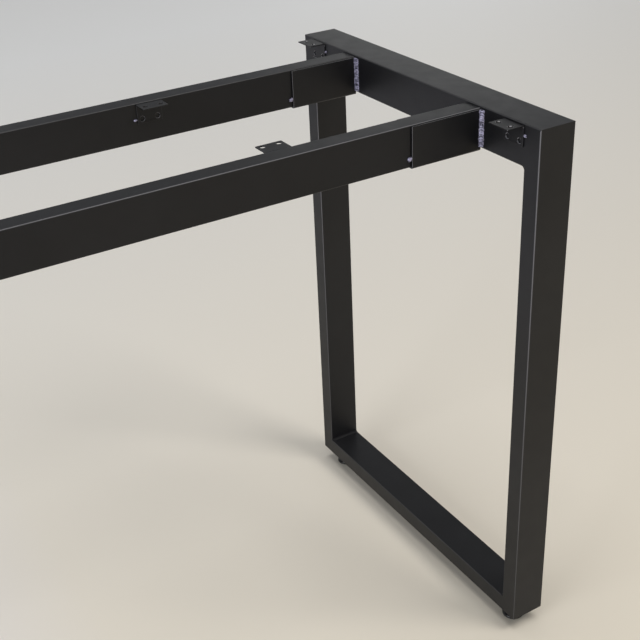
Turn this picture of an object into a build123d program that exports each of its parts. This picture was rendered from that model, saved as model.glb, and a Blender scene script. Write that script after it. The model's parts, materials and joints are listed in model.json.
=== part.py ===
from build123d import *
import os

# Frame: origin at the middle of the top bar's upper face, where the table top lies.
# +Z is up, +Y runs along the top bar from the front post to the rear post,
# and the rails leave the top bar towards -X. All sizes are in millimetres.

# Loop of tube
frame_height = 710.0
frame_width = 500.0
tube_depth = 50.0
post_thickness = 25.0
top_bar_height = 50.0
bottom_bar_height = 25.0
tube_wall = 1.5
tube_corner_radius = 1.5
smallest_bend = 0.3

# Rails
rail_height = 50.0
rail_width = 25.0
rail_spacing = 267.0
rail_length = 600.0
rail_drop = 2.0

# Saddles
saddle_length = 97.0
saddle_wall = 1.5
saddle_bend = 1.0
saddle_clearance = 1.25
saddle_edge_drop = 1.2

# Angle brackets, with one flange longer than the other
bracket_length = 32.5
bracket_short_flange = 24.0
bracket_long_flange = 25.0
bracket_short_reach = 15.0
bracket_long_reach = 19.0
bracket_sheet = 1.5
bracket_bend = 1.0
bracket_hole_diameter = 6.5
bracket_hole_spacing = 20.0
front_corner_bracket_drop = 2.0
rear_corner_bracket_drop = 0.9
front_corner_bracket_inset = 43.0
rear_corner_bracket_inset = 39.0
rail_bracket_drop = 1.0
front_rail_bracket_reach = 250.5
rear_rail_bracket_reach = 297.0

# Weld metal
corner_weld_leg = 4.5
corner_weld_hollow = 1.2
saddle_weld_bar_leg = 5.6
saddle_weld_side_leg = 3.0
saddle_weld_top = 0.3
bead_crown = 0.8
saddle_tack_length = 7.0
saddle_tack_leg = 5.5
saddle_tack_height = 12.0
bracket_tack_length = 4.5
bracket_tack_leg = 6.0
corner_tack_drop = 11.5
rail_tack_drop = 19.5

# Levelling feet
foot_inset = 30.0
foot_standoff = 22.0
foot_radius = 15.0
foot_rim_height = 4.0
foot_cone_height = 5.0
foot_cone_radius = 8.5
foot_edge_chamfer = 1.0
foot_neck_across = 13.0
foot_neck_height = 3.0
stud_radius = 4.0
stud_rise = 14.0
stud_chamfer = 0.8
stud_seat_clearance = 0.05
stud_pocket_floor = 3.0
insert_bore_clearance = 0.05
insert_flange_radius = 6.5
insert_flange_thickness = 1.0
insert_barrel_radius = 5.5
insert_barrel_length = 13.0
insert_hole_clearance = 0.1

# Faces and levels that several pieces share
rail_side = -tube_depth / 2
loop_bottom = -frame_height
rail_top = -rail_drop
rail_bottom = rail_top - rail_height
saddle_top = rail_top - saddle_edge_drop
saddle_bottom = rail_bottom - saddle_wall
saddle_width = rail_width + 2 * (saddle_clearance + saddle_wall)
saddle_end = rail_side - saddle_length
foot_base_height = foot_rim_height + foot_cone_height + foot_neck_height
floor_level = loop_bottom - foot_standoff
foot_offset = frame_width / 2 - foot_inset
front_bracket_offset = frame_width / 2 - front_corner_bracket_inset
rear_bracket_offset = frame_width / 2 - rear_corner_bracket_inset


def tube_section(width, height):
    inner_radius = max(tube_corner_radius - tube_wall, smallest_bend)
    outside = RectangleRounded(width, height, tube_corner_radius)
    inside = RectangleRounded(width - 2 * tube_wall, height - 2 * tube_wall, inner_radius)
    return outside - inside


# A mitre runs from the loop's outer corner to its inner corner, with its normal on the post's side.
def mitre_plane(side, outer_level, bar_height, inward):
    return Plane(
        origin=(0, side * frame_width / 2, outer_level),
        x_dir=(1, 0, 0),
        z_dir=(0, side * bar_height, inward * post_thickness),
    )


def top_mitre(side):
    return mitre_plane(side, 0, top_bar_height, -1)


def bottom_mitre(side):
    return mitre_plane(side, loop_bottom, bottom_bar_height, 1)


def bar(height, middle, mitre):
    tube = extrude(Plane.XZ * tube_section(tube_depth, height), frame_width / 2, both=True)
    tube = Pos(0, 0, middle) * tube
    for side in (-1, 1):
        tube = split(tube, bisect_by=mitre(side), keep=Keep.BOTTOM)
    return tube


def make_top_bar():
    return bar(top_bar_height, -top_bar_height / 2, top_mitre)


def make_bottom_bar():
    tube = bar(bottom_bar_height, loop_bottom + bottom_bar_height / 2, bottom_mitre)
    for side in (-1, 1):
        hole = Cylinder(insert_barrel_radius + insert_hole_clearance, 2 * tube_wall)
        tube -= Pos(0, side * foot_offset, loop_bottom + tube_wall / 2) * hole
    return tube


def make_post(side):
    tube = extrude(tube_section(tube_depth, post_thickness), -frame_height)
    tube = Pos(0, side * (frame_width - post_thickness) / 2, 0) * tube
    for mitre in (top_mitre(side), bottom_mitre(side)):
        tube = split(tube, bisect_by=mitre, keep=Keep.TOP)
    return tube


def make_rail(side):
    tube = extrude(Plane.YZ * tube_section(rail_width, rail_height), -rail_length)
    return Pos(rail_side, side * rail_spacing / 2, rail_top - rail_height / 2) * tube


# Folded U: the rail lies on its floor, and its walls stop just under the rail's upper face.
def make_saddle(side):
    height = saddle_top - saddle_bottom
    floor_up = (Align.CENTER, Align.MIN)
    outside = Rectangle(saddle_width, height, align=floor_up)
    outside = fillet(outside.vertices().group_by(Axis.Y)[0], saddle_bend + saddle_wall)
    inside = Rectangle(saddle_width - 2 * saddle_wall, height, align=floor_up)
    inside = fillet(inside.vertices().group_by(Axis.Y)[0], saddle_bend)
    section = outside - Pos(0, saddle_wall) * inside
    channel = extrude(Plane.YZ * section, -saddle_length)
    return Pos(rail_side, side * rail_spacing / 2, saddle_bottom) * channel


# Weld metal in a right-angled corner: two flat legs and a face that swells by its crown.
# The bead's own frame has its corner at the origin, half way along its length.
def fillet_bead(first_leg, second_leg, length, crown):
    middle = Vector(first_leg / 2, second_leg / 2)
    outward = Vector(second_leg, first_leg).normalized()
    outline = Polyline((0, second_leg), (0, 0), (first_leg, 0))
    outline += ThreePointArc((first_leg, 0), middle + outward * crown, (0, second_leg))
    return extrude(make_face(outline), length / 2, both=True)


def corner_frame(corner, first_direction, second_direction):
    along = Vector(*first_direction).cross(Vector(*second_direction))
    return Plane(origin=corner, x_dir=first_direction, z_dir=along)


def make_corner_welds():
    flat_width = tube_depth - 2 * tube_corner_radius
    bead = fillet_bead(corner_weld_leg, corner_weld_leg, flat_width, -corner_weld_hollow)
    levels = ((-top_bar_height, -1), (loop_bottom + bottom_bar_height, 1))
    welds = []
    for side in (-1, 1):
        for level, inward in levels:
            corner = (0, side * (frame_width / 2 - post_thickness), level)
            welds.append(corner_frame(corner, (0, -side, 0), (0, 0, inward)) * bead)
    return Compound(children=welds)


def make_saddle_weld(side):
    top = saddle_top - saddle_weld_top
    bottom = -top_bar_height + tube_corner_radius
    bead = fillet_bead(saddle_weld_bar_leg, saddle_weld_side_leg, top - bottom, bead_crown)
    welds = []
    for face in (-1, 1):
        corner = (rail_side, side * rail_spacing / 2 + face * saddle_width / 2, (top + bottom) / 2)
        welds.append(corner_frame(corner, (0, face, 0), (-1, 0, 0)) * bead)
    return Compound(children=welds)


# The tack fills the corner between the saddle's cut end and the side of the rail.
def make_saddle_tack(side):
    bead = fillet_bead(saddle_tack_leg, saddle_wall + saddle_clearance, saddle_tack_length, bead_crown)
    level = saddle_bottom + saddle_tack_height
    tacks = []
    for face in (-1, 1):
        corner = (saddle_end, side * rail_spacing / 2 + face * rail_width / 2, level)
        tacks.append(corner_frame(corner, (-1, 0, 0), (0, face, 0)) * bead)
    return Compound(children=tacks)


# The bracket's own frame: its wall plane is X = 0, its upper face is Z = 0, and it stands out to -X.
def bracket(turned):
    short = (bracket_short_flange, bracket_short_reach)
    long = (bracket_long_flange, bracket_long_reach)
    level_flange, level_reach = long if turned else short
    upright_flange, upright_reach = short if turned else long
    outline = make_face(
        Polyline(
            (0, 0),
            (-level_flange, 0),
            (-level_flange, -bracket_sheet),
            (-bracket_sheet, -bracket_sheet),
            (-bracket_sheet, -upright_flange),
            (0, -upright_flange),
            close=True,
        )
    )
    inner_bend = outline.vertices().sort_by_distance((-bracket_sheet, -bracket_sheet))[0]
    outline = fillet(inner_bend, bracket_bend)
    outer_bend = outline.vertices().sort_by_distance((0, 0))[0]
    outline = fillet(outer_bend, bracket_bend + bracket_sheet)
    angle = extrude(Plane.XZ * outline, bracket_length / 2, both=True)
    hole = Cylinder(bracket_hole_diameter / 2, 4 * bracket_sheet)
    for along in (-bracket_hole_spacing / 2, bracket_hole_spacing / 2):
        angle -= Pos(-level_reach, along, 0) * hole
        angle -= Pos(0, along, -upright_reach) * Rot(0, 90, 0) * hole
    return angle


# One tack holds each bracket, in the corner between an end of its upright flange and the wall.
def bracket_tack(end, drop):
    bead = fillet_bead(bracket_tack_leg, bracket_sheet, bracket_tack_length, bead_crown)
    corner = (0, end * bracket_length / 2, -drop)
    return corner_frame(corner, (0, end, 0), (-1, 0, 0)) * bead


def bracket_places():
    rail_face = (rail_spacing - rail_width) / 2
    rail_level = rail_top - rail_bracket_drop
    front_reach = rail_side - front_rail_bracket_reach
    rear_reach = rail_side - rear_rail_bracket_reach
    return {
        "front_corner_bracket": Pos(rail_side, -front_bracket_offset, -front_corner_bracket_drop),
        "rear_corner_bracket": Pos(rail_side, rear_bracket_offset, -rear_corner_bracket_drop),
        "front_rail_bracket": Pos(front_reach, -rail_face, rail_level) * Rot(0, 0, -90),
        "rear_rail_bracket": Pos(rear_reach, rail_face, rail_level) * Rot(0, 0, 90),
    }


# The corner brackets are tacked at the end towards -Y, and the rail brackets at the end towards -X.
def make_bracket_tacks():
    places = bracket_places()
    tacks = {
        "front_corner_bracket": bracket_tack(-1, corner_tack_drop),
        "rear_corner_bracket": bracket_tack(-1, corner_tack_drop),
        "front_rail_bracket": bracket_tack(-1, rail_tack_drop),
        "rear_rail_bracket": bracket_tack(1, rail_tack_drop),
    }
    return Compound(children=[places[name] * tack for name, tack in tacks.items()])


# Moulded base: a round rim, a cone above it and a hexagon for a spanner.
def make_foot_base(side):
    cone_top = foot_rim_height + foot_cone_height
    outline = make_face(
        Polyline(
            (0, 0),
            (foot_radius, 0),
            (foot_radius, foot_rim_height),
            (foot_cone_radius, cone_top),
            (0, cone_top),
            close=True,
        )
    )
    rim_edge = outline.vertices().sort_by_distance((foot_radius, foot_rim_height))[0]
    outline = chamfer(rim_edge, foot_edge_chamfer)
    base = revolve(Plane.XZ * outline, Axis.Z)
    neck = extrude(RegularPolygon(foot_neck_across / 2, 6, major_radius=False), foot_neck_height)
    base += Pos(0, 0, cone_top) * neck
    pocket = Cylinder(
        stud_radius + stud_seat_clearance,
        foot_base_height,
        align=(Align.CENTER, Align.CENTER, Align.MIN),
    )
    base -= Pos(0, 0, stud_pocket_floor) * pocket
    return Pos(0, side * foot_offset, floor_level) * base


def make_foot_stud(side):
    bottom = floor_level + stud_pocket_floor
    top = loop_bottom + stud_rise
    rod = Cylinder(stud_radius, top - bottom, align=(Align.CENTER, Align.CENTER, Align.MIN))
    top_edge = rod.edges().filter_by(GeomType.CIRCLE).sort_by(Axis.Z)[-1]
    rod = chamfer(top_edge, stud_chamfer)
    return Pos(0, side * foot_offset, bottom) * rod


# Flanged insert: the flange lies under the bar, and the threaded barrel stands up inside it.
def make_foot_insert(side):
    upwards = (Align.CENTER, Align.CENTER, Align.MIN)
    flange = Cylinder(insert_flange_radius, insert_flange_thickness, align=upwards)
    barrel = Cylinder(insert_barrel_radius, insert_barrel_length, align=upwards)
    insert = flange + Pos(0, 0, insert_flange_thickness) * barrel
    bore_length = insert_flange_thickness + insert_barrel_length
    insert -= Cylinder(stud_radius + insert_bore_clearance, bore_length, align=upwards)
    return Pos(0, side * foot_offset, loop_bottom - insert_flange_thickness) * insert


def make_parts():
    parts = {
        "top_bar": make_top_bar(),
        "bottom_bar": make_bottom_bar(),
        "corner_welds": make_corner_welds(),
        "bracket_tacks": make_bracket_tacks(),
    }
    for name, side in (("front", -1), ("rear", 1)):
        parts[f"{name}_post"] = make_post(side)
        parts[f"{name}_rail"] = make_rail(side)
        parts[f"{name}_saddle"] = make_saddle(side)
        parts[f"{name}_saddle_weld"] = make_saddle_weld(side)
        parts[f"{name}_saddle_tack"] = make_saddle_tack(side)
        parts[f"{name}_foot_base"] = make_foot_base(side)
        parts[f"{name}_foot_stud"] = make_foot_stud(side)
        parts[f"{name}_foot_insert"] = make_foot_insert(side)
    for name, place in bracket_places().items():
        parts[name] = place * bracket(turned=name == "front_rail_bracket")
    return parts


os.makedirs("parts", exist_ok=True)
for node, solid in make_parts().items():
    export_step(solid, f"parts/{node}.step")
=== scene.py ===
import json
import math

import bpy
import numpy as np
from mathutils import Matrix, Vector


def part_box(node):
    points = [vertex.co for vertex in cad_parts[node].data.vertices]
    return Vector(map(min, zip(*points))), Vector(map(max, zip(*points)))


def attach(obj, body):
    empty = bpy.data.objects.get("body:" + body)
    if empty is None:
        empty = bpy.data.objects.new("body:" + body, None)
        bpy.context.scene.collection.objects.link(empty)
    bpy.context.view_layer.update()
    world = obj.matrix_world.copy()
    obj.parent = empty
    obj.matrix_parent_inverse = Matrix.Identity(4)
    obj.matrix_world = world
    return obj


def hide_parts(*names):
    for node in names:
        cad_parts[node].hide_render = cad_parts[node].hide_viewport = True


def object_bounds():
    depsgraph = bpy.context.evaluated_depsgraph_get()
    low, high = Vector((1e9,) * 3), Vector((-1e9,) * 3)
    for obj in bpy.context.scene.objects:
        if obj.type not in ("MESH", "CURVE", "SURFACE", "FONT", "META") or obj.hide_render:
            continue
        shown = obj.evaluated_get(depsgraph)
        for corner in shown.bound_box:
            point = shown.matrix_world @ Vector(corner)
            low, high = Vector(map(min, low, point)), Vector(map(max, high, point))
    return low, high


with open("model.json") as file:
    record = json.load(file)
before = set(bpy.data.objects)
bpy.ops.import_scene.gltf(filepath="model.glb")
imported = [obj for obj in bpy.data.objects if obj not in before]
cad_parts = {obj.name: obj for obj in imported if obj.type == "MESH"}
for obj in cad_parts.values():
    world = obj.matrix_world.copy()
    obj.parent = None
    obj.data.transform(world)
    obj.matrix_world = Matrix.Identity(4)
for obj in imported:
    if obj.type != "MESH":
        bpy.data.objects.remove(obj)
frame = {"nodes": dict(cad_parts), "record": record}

mm = 0.001
sides = ("front", "rear")
nodes = frame["nodes"]
cadBox = [list(corner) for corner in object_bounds()]


def corners(nodeName):
    low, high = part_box(nodeName)
    return np.array(low), np.array(high)


wholeRange = (0.0, 1.0)
noiseRange = (0.3, 0.7)  # most values of a noise lie between these


# Shader helpers. They take and give sockets, so that a finish reads as a chain of values.
def addNode(tree, kind, values=None, **settings):
    made = tree.nodes.new(kind)
    for key, value in settings.items():
        setattr(made, key, value)
    for key, value in (values or {}).items():
        made.inputs[key].default_value = value
    return made


def link(tree, source, node, socket):
    tree.links.new(source, node.inputs[socket])


def emptyMaterial(name):
    material = bpy.data.materials.new(name)
    material.use_nodes = True
    tree = material.node_tree
    tree.nodes.clear()
    surface = addNode(tree, "ShaderNodeBsdfPrincipled")
    output = addNode(tree, "ShaderNodeOutputMaterial")
    link(tree, surface.outputs["BSDF"], output, "Surface")
    place = addNode(tree, "ShaderNodeTexCoord").outputs["Object"]
    return material, tree, surface, place


def addNoise(tree, place, settings):
    noise = addNode(tree, "ShaderNodeTexNoise", settings)
    link(tree, place, noise, "Vector")
    return noise.outputs["Fac"]


def addRamp(tree, source, stops, colours):
    ramp = addNode(tree, "ShaderNodeValToRGB")
    for element, position, colour in zip(ramp.color_ramp.elements, stops, colours):
        element.position = position
        element.color = (*colour, 1.0)
    link(tree, source, ramp, "Fac")
    return ramp.outputs["Color"]


def addRange(tree, source, fromRange, toRange=wholeRange):
    names = ("From Min", "From Max", "To Min", "To Max")
    made = addNode(tree, "ShaderNodeMapRange", dict(zip(names, (*fromRange, *toRange))))
    link(tree, source, made, "Value")
    return made.outputs["Result"]


def addMath(tree, operation, first, second):
    made = addNode(tree, "ShaderNodeMath", operation=operation)
    link(tree, first, made, 0)
    link(tree, second, made, 1)
    return made.outputs["Value"]


def addParts(tree, vector):
    made = addNode(tree, "ShaderNodeSeparateXYZ")
    link(tree, vector, made, "Vector")
    return made.outputs


# Fine bumps all over a finish.
def addGrain(tree, surface, place, grain):
    bump = addNode(tree, "ShaderNodeBump", {"Strength": grain["strength"], "Distance": grain["depth"]})
    link(tree, addNoise(tree, place, grain["noise"]), bump, "Height")
    link(tree, bump.outputs["Normal"], surface, "Normal")


# The mix node has several sockets of one name, so those for colours go by number.
mixSockets = {"share": 0, "under": 6, "over": 7, "mixed": 2}


def addTint(tree, under, mask, colour):
    blend = addNode(tree, "ShaderNodeMix", {mixSockets["over"]: (*colour, 1.0)}, data_type="RGBA")
    link(tree, mask, blend, mixSockets["share"])
    link(tree, under, blend, mixSockets["under"])
    return blend.outputs[mixSockets["mixed"]]


# A mask goes from 0 to 1 over its range, which is of a part of the direction that the surface looks in.
edgeMask = {
    "turned": (0.985, 0.85),    # its largest part, which is 1 on a face square to an axis
    "notDown": (-0.30, -0.05),  # its upward part
    "upright": (0.17, 0.53),    # the smaller of its two level parts
    "tilted": (0.10, 0.30),     # its upward part without the sign
}


# Three masks from that direction. The first is 1 on every rounded edge that does not look down, the second on
# upright edges and the walls of upright holes, and the third on all that isn't upright. They place the coat's
# painted highlights and glints.
def addEdgeMasks(tree):
    direction = addNode(tree, "ShaderNodeNewGeometry").outputs["Normal"]
    unsigned = addNode(tree, "ShaderNodeVectorMath", operation="ABSOLUTE")
    link(tree, direction, unsigned, 0)
    parts = addParts(tree, unsigned.outputs["Vector"])
    level = addMath(tree, "MAXIMUM", parts["X"], parts["Y"])
    largest = addMath(tree, "MAXIMUM", level, parts["Z"])
    smaller = addMath(tree, "MINIMUM", parts["X"], parts["Y"])
    turned = addRange(tree, largest, edgeMask["turned"])
    notDown = addRange(tree, addParts(tree, direction)["Z"], edgeMask["notDown"])
    upperEdge = addMath(tree, "MULTIPLY", turned, notDown)
    uprightEdge = addRange(tree, smaller, edgeMask["upright"])
    tilted = addRange(tree, parts["Z"], edgeMask["tilted"])
    return upperEdge, uprightEdge, tilted


coat = {
    "dark": (0.0046, 0.0046, 0.0056),
    "light": (0.0082, 0.0082, 0.0096),
    "cloud": {"Scale": 7.0, "Detail": 4.0, "Roughness": 0.6},  # clouds of tone, about 140 mm across
    "cloudRange": (0.35, 0.70),
    "gloss": {"Scale": 45.0, "Detail": 3.0},
    "roughness": (0.43, 0.48),
    "specular": 0.36,
    # orange peel, about 2 mm across
    "peel": {"noise": {"Scale": 520.0, "Detail": 1.0}, "strength": 0.5, "depth": 0.06 * mm},
}

# The share of the painted upright highlight goes from the first to the second value between two heights, so
# on the loop it is brighter towards the top. On a bracket only the level flange has it, as painted highlights
# and glints in its holes.
loopHighlightHeights = {"heights": (-700.0 * mm, -50.0 * mm), "shares": (0.12, 1.0)}
bracketHighlightHeights = {"heights": (-5.8 * mm, -4.6 * mm), "shares": (0.0, 1.0)}

# The coat is a little thinner on rounded edges, which makes them lighter, but most of the lightness of these
# tones is painted highlight. Each kind has a painted highlight tone for its upper edges, and all but the
# beads have one for upright edges and the walls of upright holes. The third tone of a bracket is a painted
# glint on the walls of its level holes. The beads are as dark as the coat and shine less than the rest.
edgeLook = {
    "tube": loopHighlightHeights | {"upper": (0.042, 0.041, 0.043), "upright": (0.180, 0.177, 0.186)},
    "rail": loopHighlightHeights | {"upper": (0.105, 0.103, 0.109), "upright": (0.105, 0.103, 0.109)},
    "saddle": loopHighlightHeights | {"upper": (0.190, 0.187, 0.196), "upright": (0.180, 0.177, 0.186)},
    "cornerBracket": bracketHighlightHeights | {
        "upper": (0.050, 0.049, 0.052), "upright": (0.360, 0.355, 0.360), "levelHole": (0.300, 0.295, 0.310),
    },
    "railBracket": bracketHighlightHeights | {
        "upper": (0.070, 0.069, 0.072), "upright": (0.030, 0.029, 0.031), "levelHole": (0.160, 0.157, 0.165),
    },
    "bead": {"upper": (0.006, 0.006, 0.007), "specular": 0.13},
}

# The level holes in the brackets' upright flanges all lie in one band of heights, and their walls get a
# painted glint there.
levelHoleBand = {"middle": -20.0 * mm, "half": 6.2 * mm}


# Black coat of one kind: clouds of tone, then the painted highlights on its edges and painted glints on its
# hole walls, one over another.
def satinBlackCoat(kind):
    edge = edgeLook[kind]
    material, tree, surface, place = emptyMaterial("satinBlack" + kind[0].upper() + kind[1:])
    cloud = addNoise(tree, place, coat["cloud"])
    tone = addRamp(tree, cloud, coat["cloudRange"], (coat["dark"], coat["light"]))
    upperEdge, uprightEdge, tilted = addEdgeMasks(tree)
    # painted highlight on the upper rounded edges
    tone = addTint(tree, tone, upperEdge, edge["upper"])
    height = addParts(tree, place)["Z"]
    if "upright" in edge:
        share = addRange(tree, height, edge["heights"], edge["shares"])
        # painted highlight on upright edges and painted glints on upright hole walls, its share set by height
        uprightHighlight = addMath(tree, "MULTIPLY", uprightEdge, share)
        tone = addTint(tree, tone, uprightHighlight, edge["upright"])
    if "levelHole" in edge:
        # painted glints on the walls of the level holes
        band = {1: levelHoleBand["middle"], 2: levelHoleBand["half"]}
        inBand = addNode(tree, "ShaderNodeMath", band, operation="COMPARE")
        link(tree, height, inBand, 0)
        holeWall = addMath(tree, "MULTIPLY", tilted, inBand.outputs["Value"])
        tone = addTint(tree, tone, holeWall, edge["levelHole"])
    link(tree, tone, surface, "Base Color")
    gloss = addNoise(tree, place, coat["gloss"])
    link(tree, addRange(tree, gloss, noiseRange, coat["roughness"]), surface, "Roughness")
    surface.inputs["Specular IOR Level"].default_value = edge.get("specular", coat["specular"])
    addGrain(tree, surface, place, coat["peel"])
    return material


weldLook = {
    # valley: painted shade between the ripples and at a tack's foot; crest: painted highlight on ripple backs
    # and a tack's top
    "valley": (0.030, 0.029, 0.048),
    "crest": (0.42, 0.40, 0.54),
    "crestRange": (0.15, 0.95),
    "patch": {"Scale": 300.0, "Detail": 1.0},  # brighter and duller patches, about 3 mm across
    "patchRange": (0.35, 0.65),
    "patchShare": (0.45, 1.15),
    "metallic": 0.35,
    "roughness": 0.34,
    "grain": {
        "noise": {"Scale": 900.0, "Detail": 3.0, "Roughness": 0.6}, "strength": 0.6, "depth": 0.08 * mm,
    },
}


# The crest attribute of a bead is 0 in the valley between two ripples and 1 on a ripple's back. On a tack it
# grows from the wall to the top. The weld's tone follows it, so valleys and a tack's foot get painted shade,
# and ripple backs and a tack's top a painted highlight.
def brightWeld():
    material, tree, surface, place = emptyMaterial("brightWeld")
    crest = addNode(tree, "ShaderNodeAttribute", attribute_name="crest").outputs["Fac"]
    patch = addNoise(tree, place, weldLook["patch"])
    patchShare = addRange(tree, patch, weldLook["patchRange"], weldLook["patchShare"])
    stirred = addMath(tree, "MULTIPLY", crest, patchShare)
    tone = addRamp(tree, stirred, weldLook["crestRange"], (weldLook["valley"], weldLook["crest"]))
    link(tree, tone, surface, "Base Color")
    surface.inputs["Metallic"].default_value = weldLook["metallic"]
    surface.inputs["Roughness"].default_value = weldLook["roughness"]
    addGrain(tree, surface, place, weldLook["grain"])
    return material


mouldedLook = {
    "dark": (0.0065, 0.0065, 0.0068),
    "light": (0.0120, 0.0120, 0.0125),
    "mottle": {"Scale": 160.0, "Detail": 3.0},
    "metallic": 0.0,
    "roughness": (0.15, 0.25),
    "grain": {"noise": {"Scale": 1500.0, "Detail": 1.0}, "strength": 0.4, "depth": 0.03 * mm},
}

zincLook = {
    "dark": (0.42, 0.42, 0.40),
    "light": (0.66, 0.66, 0.63),
    "mottle": {"Scale": 320.0, "Detail": 4.0},
    "metallic": 1.0,
    "roughness": (0.24, 0.42),
    "grain": {"noise": {"Scale": 2200.0, "Detail": 1.0}, "strength": 0.4, "depth": 0.02 * mm},
}


# Moulded black and zinc plate: one noise sets tone and gloss together.
def mottledFinish(name, look):
    material, tree, surface, place = emptyMaterial(name)
    mottle = addNoise(tree, place, look["mottle"])
    tone = addRamp(tree, mottle, noiseRange, (look["dark"], look["light"]))
    link(tree, tone, surface, "Base Color")
    link(tree, addRange(tree, mottle, noiseRange, look["roughness"]), surface, "Roughness")
    surface.inputs["Metallic"].default_value = look["metallic"]
    addGrain(tree, surface, place, look["grain"])
    return material


coatFinishes = {kind: satinBlackCoat(kind) for kind in edgeLook}
weldFinish = brightWeld()
footFinish = mottledFinish("mouldedBlack", mouldedLook)
zincFinish = mottledFinish("zincPlate", zincLook)
finishes = {"coating": coatFinishes["tube"], "weld": weldFinish, "foot": footFinish, "zinc": zincFinish}
for row in frame["record"]["subparts"]:
    nodeObject = nodes[row["node"]]
    nodeObject.data.materials.clear()
    nodeObject.data.materials.append(finishes[row["material_slot"]])
print("finishes made:", ", ".join(finishes))

sheetEdge = {
    "merge": 0.002 * mm,
    "round": 0.35 * mm,
    "segments": 2,
    "sharpDegrees": 40.0,
}


# Folded sheet has lightly rounded edges: the loose triangles are merged, then the sharp edges are bevelled.
def roundSheetEdges(nodeName):
    merge = nodes[nodeName].modifiers.new("mergedCorners", "WELD")
    merge.merge_threshold = sheetEdge["merge"]
    bevel = nodes[nodeName].modifiers.new("roundedEdges", "BEVEL")
    bevel.width = sheetEdge["round"]
    bevel.segments = sheetEdge["segments"]
    bevel.limit_method = "ANGLE"
    bevel.angle_limit = math.radians(sheetEdge["sharpDegrees"])


sheetKinds = {"saddle": "saddle", "corner_bracket": "cornerBracket", "rail_bracket": "railBracket"}
for side in sides:
    for piece, kind in sheetKinds.items():
        nodes[f"{side}_{piece}"].data.materials[0] = coatFinishes[kind]
        roundSheetEdges(f"{side}_{piece}")
nodes["front_rail"].data.materials[0] = coatFinishes["rail"]
print("sheet edges rounded on saddles and brackets")


# A closed skin over rings of points set one after another along a path:
# quads join each ring to the next, and a fan to the middle of each end ring shuts it.
def closedSkin(rings):
    count, around = rings.shape[:2]
    step = np.arange(count - 1)[:, None] * around
    turn = np.arange(around)[None, :]
    ahead = (turn + 1) % around
    quads = np.stack([step + turn, step + ahead, step + around + ahead, step + around + turn], axis=-1)
    tip = count * around
    spot, following = turn[0], ahead[0]
    startFan = np.stack([following, spot, np.full(around, tip)], axis=-1)
    endFan = np.stack([tip - around + spot, tip - around + following, np.full(around, tip + 1)], axis=-1)
    points = np.concatenate([rings.reshape(-1, 3), rings[:1].mean(1), rings[-1:].mean(1)])
    return points, quads.reshape(-1, 4), np.concatenate([startFan, endFan])


# The sum over triangles of a . (b x c) is six times the volume inside, and positive when faces look outwards.
def looksOutwards(points, quads, fans):
    triangles = np.concatenate([quads[:, :3], quads[:, [0, 2, 3]], fans])
    a, b, c = (points[triangles[:, corner]] for corner in range(3))
    return (a * np.cross(b, c)).sum() > 0


# skins is a list of (rings, crest), where crest has one value for each point of the rings.
def makePiece(name, skins, finish, body, replaced):
    points, faces, crests, start = [], [], [], 0
    for rings, crest in skins:
        shape, quads, fans = closedSkin(rings)
        if not looksOutwards(shape, quads, fans):
            quads, fans = quads[:, ::-1], fans[:, ::-1]
        faces += (quads + start).tolist() + (fans + start).tolist()
        points.append(shape)
        crests.append(np.concatenate([crest.ravel(), crest[:1].mean(1), crest[-1:].mean(1)]))
        start += len(shape)
    mesh = bpy.data.meshes.new(name)
    mesh.from_pydata(np.concatenate(points).tolist(), [], faces)
    mesh.shade_smooth()
    attribute = mesh.attributes.new("crest", "FLOAT", "POINT")
    attribute.data.foreach_set("value", np.concatenate(crests).astype(np.float32))
    mesh.materials.append(finish)
    piece = bpy.data.objects.new(name, mesh)
    bpy.context.scene.collection.objects.link(piece)
    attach(piece, body)
    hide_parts(replaced)


# Slow waves with seeded phases, as a share from about -1 to 1: the mean of sines of the given turns.
def slowWaves(share, turns, chance):
    shifts = chance.uniform(0.0, math.tau, len(turns))
    return sum(np.sin(math.tau * n * share + shift) for n, shift in zip(turns, shifts)) / len(turns)


beadForm = {
    "crestPower": 0.7,   # less than 1 makes the ripples broad and the valleys narrow
    "plainCrest": 0.6,   # the crest at which a ripple has the bead's plain size
    "leastEnd": 0.03,    # share of the end length at which an end is shut
    "wanderTurns": (2.3, 5.1, 9.7),
    "swayTurns": (1.7, 3.9, 8.3),
}


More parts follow.
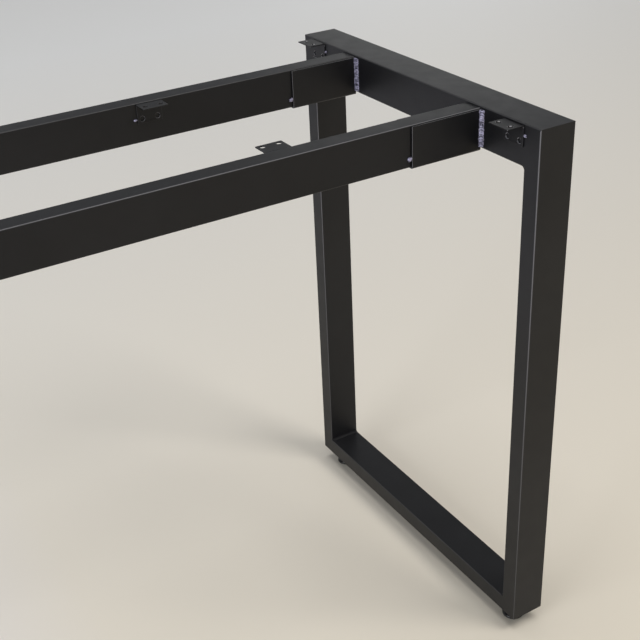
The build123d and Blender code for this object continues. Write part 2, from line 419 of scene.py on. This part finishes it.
# Fillet bead along a straight line. Across it the section is first leg * cos^power by second leg * sin^power,
# so power 2 is a flat face, less is full and more is hollow. Along it the size follows a power of
# |sin(pi * phase)|, where phase counts ripples and lags towards the edges of the face, and each end closes on
# a quarter ellipse. Its root is sunk into the corner. In its crest the valleys fade out towards those edges.
def beadSkin(start, end, firstAxis, secondAxis, bead, seed):
    chance = np.random.default_rng(seed)
    line = np.array(end) - np.array(start)
    length = np.linalg.norm(line)
    along = np.linspace(0.0, 1.0, bead["steps"])[:, None]
    across = np.linspace(0.0, 1.0, bead["across"])[None, :]
    offMiddle = (2.0 * across - 1.0) ** 2
    wander = slowWaves(along, beadForm["wanderTurns"], chance)
    phase = along * length / bead["pitch"] + bead["uneven"] * wander - bead["bow"] * offMiddle
    crest = np.abs(np.sin(math.pi * phase)) ** beadForm["crestPower"]
    inEnd = np.clip(np.minimum(along, 1.0 - along) * length / bead["endLength"], beadForm["leastEnd"], 1.0)
    taper = np.sqrt(1.0 - (1.0 - inEnd) ** 2)
    sway = slowWaves(along, beadForm["swayTurns"], chance)
    size = (1.0 + bead["ripple"] * (crest - beadForm["plainCrest"]) + bead["sway"] * sway) * taper
    angle = across * math.pi / 2.0
    first = bead["firstLeg"] * np.cos(angle) ** bead["power"] * size
    second = bead["secondLeg"] * np.sin(angle) ** bead["power"] * size
    root = -bead["sink"] * taper
    first = np.concatenate([root, first], axis=1)[..., None]
    second = np.concatenate([root, second], axis=1)[..., None]
    spine = np.array(start) + along[..., None] * line
    rings = spine + first * np.array(firstAxis) + second * np.array(secondAxis)
    # the weld's tone follows this: painted shade in the valleys, painted highlight on the ripples
    tone = 1.0 - (1.0 - crest) * (1.0 - offMiddle)
    return rings, np.concatenate([tone[:, :1], tone], axis=1)


tackForm = {
    "domeShare": 0.97,   # the dome stops just short of its pole, where a fan shuts it
    # a tack's tone follows this crest: painted shade at its foot, painted highlight on its top
    "lowCrest": 0.35,    # crest at the wall, and what the full height adds to it
    "crestRise": 0.65,
    "outlineTurns": (2, 3, 5),
    "heightTurns": (1, 2, 4),
}


# Tack: a lumpy dome on a wall. Ring s has radius cos(s) and height sin(s), for s from 0 to nearly 90 degrees;
# slow waves round the turn stir its outline and its height, and it starts a little inside the wall.
def tackSkin(centre, firstAxis, secondAxis, outAxis, tack, seed):
    chance = np.random.default_rng(seed)
    turn = np.linspace(0.0, 1.0, tack["around"], endpoint=False)[None, :]
    rise = np.linspace(0.0, 1.0, tack["rings"])[:, None] * math.pi / 2.0 * tackForm["domeShare"]
    outline = 1.0 + tack["lumpy"] * slowWaves(turn, tackForm["outlineTurns"], chance)
    radius = np.cos(rise) * outline
    lumps = slowWaves(turn, tackForm["heightTurns"], chance)
    height = np.sin(rise) * (1.0 + tack["lumpy"] * lumps * np.cos(rise))
    radius = np.concatenate([radius[:1], radius])
    height = np.concatenate([np.full_like(turn, -tack["sink"] / tack["outSize"]), height])
    first = tack["firstSize"] * radius * np.cos(math.tau * turn)
    second = tack["secondSize"] * radius * np.sin(math.tau * turn)
    out = tack["outSize"] * height
    rings = (
        np.array(centre)
        + first[..., None] * np.array(firstAxis)
        + second[..., None] * np.array(secondAxis)
        + out[..., None] * np.array(outAxis)
    )
    return rings, np.clip(tackForm["lowCrest"] + tackForm["crestRise"] * height, 0.0, 1.0)


barFace = corners("top_bar")[0][0]
up = (0.0, 0.0, 1.0)
alongRail = (1.0, 0.0, 0.0)
alongBar = (0.0, 1.0, 0.0)
outFromBar = (-1.0, 0.0, 0.0)

saddleBead = {
    "front": {"firstLeg": 4.8 * mm, "secondLeg": 3.4 * mm, "seed": 11},  # legs on the bar and on the saddle
    "rear": {"firstLeg": 6.6 * mm, "secondLeg": 2.4 * mm, "seed": 21},
    "rearFaceDrop": 3.0 * mm,  # the bead on a saddle's rear face starts lower
    "power": 1.6,
    "pitch": 3.5 * mm,         # from ripple to ripple
    "ripple": 0.22,            # how much a ripple changes the size, as a share
    "bow": 0.5,                # lag at the edges of the face, in ripples
    "uneven": 0.6,             # how far ripples wander along the bead, in ripples
    "sway": 0.12,              # slow change of the size, as a share
    "endLength": 0.8 * mm,
    "sink": 0.15 * mm,
    "steps": 240,
    "across": 17,
}


def saddleBeads(side):
    low, high = corners(f"{side}_saddle_weld")
    saddleLow, saddleHigh = corners(f"{side}_saddle")
    bead = saddleBead | saddleBead[side]
    skins = []
    for y, outward, drop in ((saddleLow[1], -1.0, 0.0), (saddleHigh[1], 1.0, bead["rearFaceDrop"])):
        top, bottom = (barFace, y, high[2] - drop), (barFace, y, low[2])
        skins.append(beadSkin(top, bottom, (0.0, outward, 0.0), outFromBar, bead, bead["seed"] + len(skins)))
    makePiece(f"{side}SaddleBeads", skins, weldFinish, "leg", f"{side}_saddle_weld")


for side in sides:
    saddleBeads(side)

saddleTack = {
    "firstSize": 3.2 * mm,   # along the rail
    "secondSize": 2.7 * mm,  # up and down
    "outSize": 3.0 * mm,
    "past": 2.2 * mm,        # how far its middle lies past the cut end of the saddle
    "lumpy": 0.30,
    "sink": 0.2 * mm,
    "around": 36,
    "rings": 14,
    "seeds": {"front": 31, "rear": 41},
}


def saddleTacks(side):
    low, high = corners(f"{side}_saddle_tack")
    railLow, railHigh = corners(f"{side}_rail")
    saddleEnd = corners(f"{side}_saddle")[0][0]
    x, z = saddleEnd - saddleTack["past"], (low[2] + high[2]) / 2.0
    seed = saddleTack["seeds"][side]
    skins = []
    for y, outward in ((railLow[1], -1.0), (railHigh[1], 1.0)):
        out = (0.0, outward, 0.0)
        skins.append(tackSkin((x, y, z), alongRail, up, out, saddleTack, seed + len(skins)))
    makePiece(f"{side}SaddleTacks", skins, weldFinish, "leg", f"{side}_saddle_tack")


for side in sides:
    saddleTacks(side)

bracketTack = {
    "firstSize": 2.5 * mm,    # along the wall
    "secondSize": 1.7 * mm,   # up and down
    "outSize": 2.2 * mm,
    "past": 2.4 * mm,         # how far its middle lies past the end of the bracket
    "cornerDrop": 11.5 * mm,  # from the bracket's upper face
    "railDrop": 19.5 * mm,
    "lumpy": 0.30,
    "sink": 0.2 * mm,
    "around": 32,
    "rings": 12,
    "seed": 51,
}


def bracketTacks():
    seed = bracketTack["seed"]
    skins = []
    for side in sides:
        low, high = corners(f"{side}_corner_bracket")
        centre = (barFace, low[1] - bracketTack["past"], high[2] - bracketTack["cornerDrop"])
        skins.append(tackSkin(centre, alongBar, up, outFromBar, bracketTack, seed + len(skins)))
    for side, inward in (("front", 1.0), ("rear", -1.0)):
        low, high = corners(f"{side}_rail_bracket")
        railLow, railHigh = corners(f"{side}_rail")
        wall = railHigh[1] if inward > 0 else railLow[1]
        centre = (low[0] - bracketTack["past"], wall, high[2] - bracketTack["railDrop"])
        skins.append(tackSkin(centre, alongRail, up, (0.0, inward, 0.0), bracketTack, seed + len(skins)))
    makePiece("bracketTackWelds", skins, weldFinish, "leg", "bracket_tacks")


bracketTacks()

cornerBead = {
    "firstLeg": 5.0 * mm,
    "secondLeg": 5.0 * mm,
    "power": 3.0,
    "past": 1.1 * mm,        # reach past the flat of the tube, onto its rounded edge
    "pitch": 3.4 * mm,
    "ripple": 0.07,
    "bow": 0.4,
    "uneven": 0.5,
    "sway": 0.04,
    "endLength": 1.2 * mm,
    "sink": 0.15 * mm,
    "steps": 200,
    "across": 15,
    "seed": 71,
}


def cornerBeads():
    low, high = corners("corner_welds")
    startX, endX = low[0] - cornerBead["past"], high[0] + cornerBead["past"]
    skins = []
    for y, inward in ((low[1], 1.0), (high[1], -1.0)):
        for z, toMiddle in ((high[2], -1.0), (low[2], 1.0)):
            axes = (0.0, inward, 0.0), (0.0, 0.0, toMiddle)
            seed = cornerBead["seed"] + len(skins)
            skins.append(beadSkin((startX, y, z), (endX, y, z), *axes, cornerBead, seed))
    makePiece("cornerBeads", skins, coatFinishes["bead"], "leg", "corner_welds")


cornerBeads()
print("welds laid: beads on the saddles and in the corners, tacks on saddles and brackets")

footForm = {
    "rimHeight": 4.0 * mm,
    "coneHeight": 5.0 * mm,
    "coneRadius": 8.5 * mm,  # at the cone's top
    "bendOut": 1.4 * mm,     # a bend in the cone, out and down from its top
    "bendDrop": 1.9 * mm,
    "neckApothem": 6.5 * mm,
    "neckHeight": 3.0 * mm,
    "neckStart": 0.05 * mm,  # above the cone's top
    "soleRound": 0.9 * mm,
    "rimRound": 2.6 * mm,
    "rimArcDegrees": 62.0,   # how far the rim's rounding goes before the cone
    "neckRound": 0.5 * mm,
    "soleShare": 0.5,        # where the first ring lies on the sole, and the last on the neck's top
    "lidShare": 0.7,
    "around": 96,
    "arcSteps": 8,
}


# An arc of the profile, as radius and height, between two angles in degrees.
def profileArc(radius, height, size, first, last):
    angle = np.radians(np.linspace(first, last, footForm["arcSteps"]))
    return np.stack([radius + size * np.cos(angle), height + size * np.sin(angle)], axis=1)


# The profile of the foot from its sole to the top of its neck, with 1 for each point that is on the hexagon
# and 0 for the others.
def footProfile(rimRadius):
    soleRound, rimRound, neckRound = footForm["soleRound"], footForm["rimRound"], footForm["neckRound"]
    coneRadius, apothem, rimTop = footForm["coneRadius"], footForm["neckApothem"], footForm["rimHeight"]
    coneTop = rimTop + footForm["coneHeight"]
    neckTop = coneTop + footForm["neckHeight"]
    base = np.concatenate([
        [(rimRadius * footForm["soleShare"], 0.0)],
        profileArc(rimRadius - soleRound, soleRound, soleRound, -90.0, 0.0),
        profileArc(rimRadius - rimRound, rimTop - rimRound, rimRound, 0.0, footForm["rimArcDegrees"]),
        [(coneRadius + footForm["bendOut"], coneTop - footForm["bendDrop"]), (coneRadius, coneTop)],
    ])
    neck = np.concatenate([
        [(apothem, coneTop + footForm["neckStart"])],
        profileArc(apothem - neckRound, neckTop - neckRound, neckRound, 0.0, 90.0),
    ])
    lid = np.array([(apothem * footForm["lidShare"], neckTop)])
    onHexagon = np.concatenate([np.zeros(len(base)), np.ones(len(neck)), np.zeros(len(lid))])
    return np.concatenate([base, neck, lid]), onHexagon


# The foot is its profile turned about the stud. On the neck the radius is that of a hexagon,
# apothem / cos(angle from the middle of the nearest flat), and elsewhere it is the profile's own.
def footBase(side):
    low, high = corners(f"{side}_foot_base")
    middle = (low + high) / 2.0
    profile, onHexagon = footProfile((high[0] - low[0]) / 2.0)
    turn = np.linspace(0.0, math.tau, footForm["around"], endpoint=False)
    flatAngle = math.pi / 3.0  # from flat to flat of the hexagon
    offFlat = (turn + flatAngle / 2.0) % flatAngle - flatAngle / 2.0
    radius = profile[:, :1] * (1.0 + onHexagon[:, None] * (1.0 / np.cos(offFlat) - 1.0))
    height = np.repeat(profile[:, 1:], footForm["around"], axis=1)
    x = middle[0] + radius * np.cos(turn)
    y = middle[1] + radius * np.sin(turn)
    skin = np.stack([x, y, low[2] + height], axis=-1), np.zeros_like(radius)
    makePiece(f"{side}FootBase", [skin], footFinish, f"{side}_foot", f"{side}_foot_base")


for side in sides:
    footBase(side)

studThread = {
    "pitch": 1.25 * mm,
    "depth": 0.62 * mm,
    "endLength": 1.6 * mm,
    "stretch": 1.15,         # the wave is multiplied by this, lowered by the next value and cut at 0 and 1
    "lower": 0.12,
    "around": 40,
    "stepsPerTurn": 10,
}


# Threaded stud: the radius falls from the crest by the thread's depth times a triangle wave with flat tips,
# taken of height / pitch minus the share of the turn, so the groove climbs one pitch in each turn. The ends
# taper.
def footStud(side):
    low, high = corners(f"{side}_foot_stud")
    middle = (low + high) / 2.0
    crestRadius = (high[0] - low[0]) / 2.0
    length = high[2] - low[2]
    steps = int(length / studThread["pitch"] * studThread["stepsPerTurn"])
    height = np.linspace(0.0, length, steps)[:, None]
    turn = np.linspace(0.0, 1.0, studThread["around"], endpoint=False)[None, :]
    wave = np.abs((height / studThread["pitch"] - turn) % 1.0 - 0.5) * 2.0
    groove = np.clip(studThread["stretch"] * wave - studThread["lower"], 0.0, 1.0)
    inEnd = np.clip(np.minimum(height, length - height) / studThread["endLength"], 0.0, 1.0)
    radius = crestRadius - studThread["depth"] * np.maximum(groove, 1.0 - inEnd)
    x = middle[0] + radius * np.cos(math.tau * turn)
    y = middle[1] + radius * np.sin(math.tau * turn)
    z = np.repeat(low[2] + height, studThread["around"], axis=1)
    skin = np.stack([x, y, z], axis=-1), np.zeros_like(radius)
    makePiece(f"{side}FootStud", [skin], zincFinish, f"{side}_foot", f"{side}_foot_stud")


for side in sides:
    footStud(side)
print("feet made: bases with a hexagon, threaded studs")

floorLook = {
    "halfSize": 14.0,
    "front": (0.70, 0.63, 0.51),
    "back": (0.86, 0.86, 0.85),
    # painted cool window light on the floor's left side, which the faces that look to -X reflect
    "left": (0.69, 0.69, 0.79),
    "turnOver": (-0.8, 3.0),       # from the front tone to the back tone, in metres along Y
    "leftTurnOver": (-0.5, -1.3),  # to the cool tone on the left, in metres along X
    "roughness": 0.62,
}


def paleFloor():
    material, tree, surface, place = emptyMaterial("paleFloor")
    parts = addParts(tree, place)
    share = addRange(tree, parts["Y"], floorLook["turnOver"])
    tone = addRamp(tree, share, wholeRange, (floorLook["front"], floorLook["back"]))
    # painted cool window light towards the left
    leftShare = addRange(tree, parts["X"], floorLook["leftTurnOver"])
    link(tree, addTint(tree, tone, leftShare, floorLook["left"]), surface, "Base Color")
    surface.inputs["Roughness"].default_value = floorLook["roughness"]
    half = floorLook["halfSize"]
    level = cadBox[0][2]
    square = [(-half, -half, level), (half, -half, level), (half, half, level), (-half, half, level)]
    mesh = bpy.data.meshes.new("floor")
    mesh.from_pydata(square, [], [(0, 1, 2, 3)])
    mesh.materials.append(material)
    floor = bpy.data.objects.new("floor", mesh)
    bpy.context.scene.collection.objects.link(floor)


paleFloor()

studio = {
    "horizon": (0.57, 0.58, 0.595),
    "overhead": (0.090, 0.092, 0.097),
    "turnOver": (0.25, 0.42),  # sine of the height at which the sky goes from one tone to the other
    "lamps": (
        # name, place in metres, watts, size in metres, colour
        ("keyLamp", (1.2, -1.8, 2.5), 48.0, 1.3, (1.00, 0.97, 0.93)),
        ("sideLamp", (-2.9, -0.7, 0.9), 36.0, 1.7, (0.93, 0.96, 1.00)),
        ("backLamp", (-1.0, 2.8, 2.2), 5.0, 2.4, (1.00, 1.00, 1.00)),
        ("rimLamp", (3.3, 4.5, 0.75), 9.0, 1.6, (1.00, 1.00, 0.97)),
    ),
    "topLight": {"strength": 1.25, "spreadDegrees": 40.0, "place": (-0.2, -0.1, 3.0)},
    "aim": (-0.1, 0.0, -0.3),
}


# A lamp shines down its own Z axis: it is tipped up from straight down, then turned towards the aim.
def hang(lamp, place):
    holder = bpy.data.objects.new(lamp.name, lamp)
    holder.location = place
    x, y, z = np.array(studio["aim"]) - np.array(place)
    holder.rotation_euler = (math.atan2(math.hypot(x, y), -z), 0.0, math.atan2(-x, y))
    bpy.context.scene.collection.objects.link(holder)


def lightStudio():
    world = bpy.data.worlds.new("studioSky")
    world.use_nodes = True
    tree = world.node_tree
    direction = addNode(tree, "ShaderNodeTexCoord").outputs["Generated"]
    share = addRange(tree, addParts(tree, direction)["Z"], studio["turnOver"])
    tone = addRamp(tree, share, wholeRange, (studio["horizon"], studio["overhead"]))
    link(tree, tone, tree.nodes["Background"], "Color")
    bpy.context.scene.world = world
    for name, place, watts, size, colour in studio["lamps"]:
        lamp = bpy.data.lights.new(name, "AREA")
        lamp.energy = watts
        lamp.size = size
        lamp.color = colour
        hang(lamp, place)
    sun = bpy.data.lights.new("topLight", "SUN")
    sun.energy = studio["topLight"]["strength"]
    sun.angle = math.radians(studio["topLight"]["spreadDegrees"])
    hang(sun, studio["topLight"]["place"])


lightStudio()

cameraView = {
    "place": (-0.80805, -1.11739, 0.41900),  # place and turn are fitted to the photograph
    "turnDegrees": (60.7491, 2.4284, -31.2314),
    "lens": 62.938,
    "sensor": 36.0,
}


def setCamera():
    data = bpy.data.cameras.new("camera")
    data.lens = cameraView["lens"]
    data.sensor_width = cameraView["sensor"]
    camera = bpy.data.objects.new("camera", data)
    camera.location = cameraView["place"]
    camera.rotation_euler = [math.radians(angle) for angle in cameraView["turnDegrees"]]
    bpy.context.scene.collection.objects.link(camera)
    bpy.context.scene.camera = camera


setCamera()
bpy.context.scene.view_settings.view_transform = "Standard"
print("floor, lamps and camera set")
